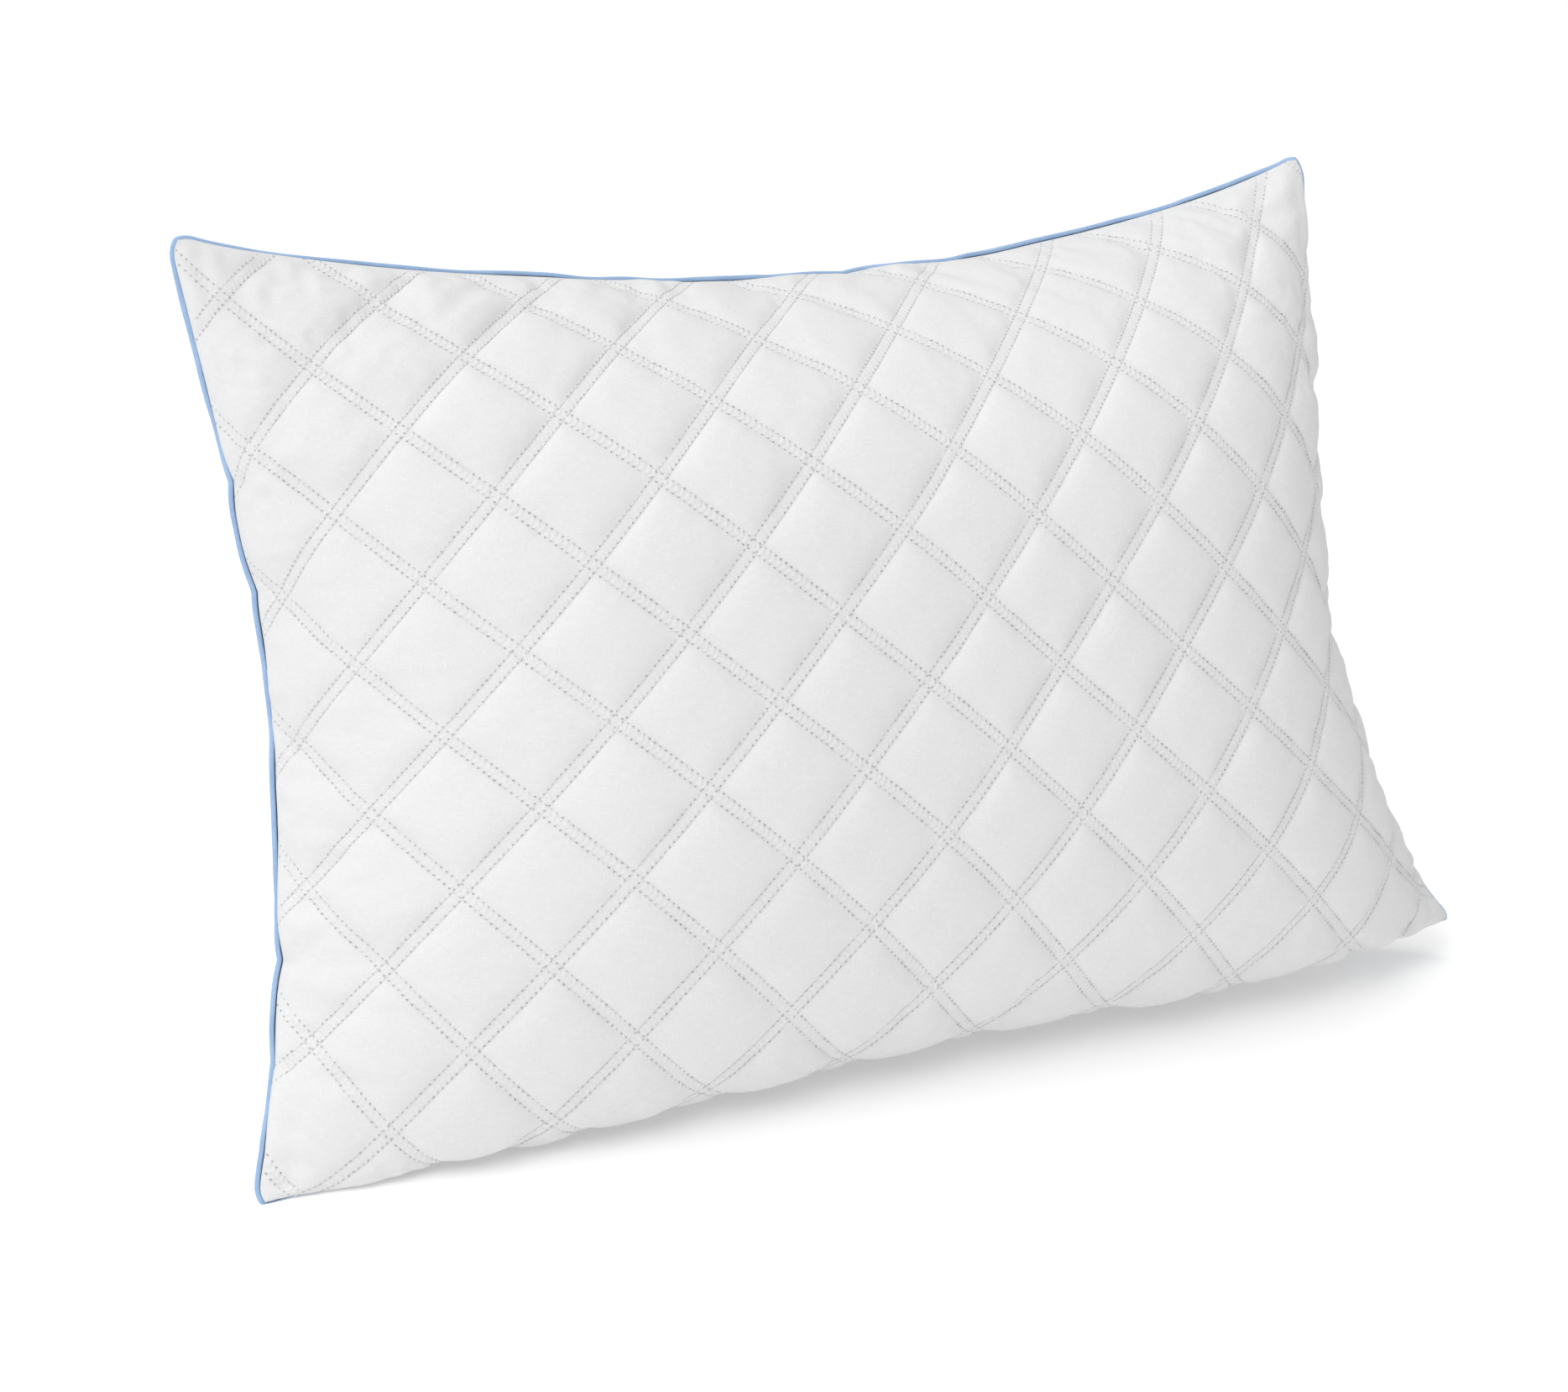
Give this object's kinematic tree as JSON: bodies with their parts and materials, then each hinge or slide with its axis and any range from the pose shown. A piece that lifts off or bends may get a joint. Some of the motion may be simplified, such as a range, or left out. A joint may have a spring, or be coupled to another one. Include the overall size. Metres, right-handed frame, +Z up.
{
  "type": "bed pillow",
  "caption": "Quilted rectangular bed pillow with diamond stitched faces and a corded piping in its seam, standing on its lower long edge.",
  "frame": {"origin": "on the floor, under the middle of the pillow's box", "axes": "+X along the pillow's long side, +Z up, -Y out of the front face, the top leaning back towards +Y"},
  "size_m": [0.7504, 0.2576, 0.4892],
  "materials": {
    "face_fabric": "plain woven white cotton, matt, quilted in double rows of white thread",
    "wadding": "thin white polyester wadding, fluffy",
    "lining": "light non-woven white lining, matt",
    "fibre_fill": "loose white polyester fibre",
    "piping": "light blue woven cotton bias strip, matt",
    "piping_cord": "natural twisted cotton filler cord"
  },
  "bodies": {
    "root": {"front_face_fabric": "face_fabric", "front_wadding": "wadding", "front_lining": "lining", "back_face_fabric": "face_fabric", "back_wadding": "wadding", "back_lining": "lining", "fibre_fill": "fibre_fill", "piping_cover": "piping", "piping_cord": "piping_cord"}
  },
  "joints": []
}
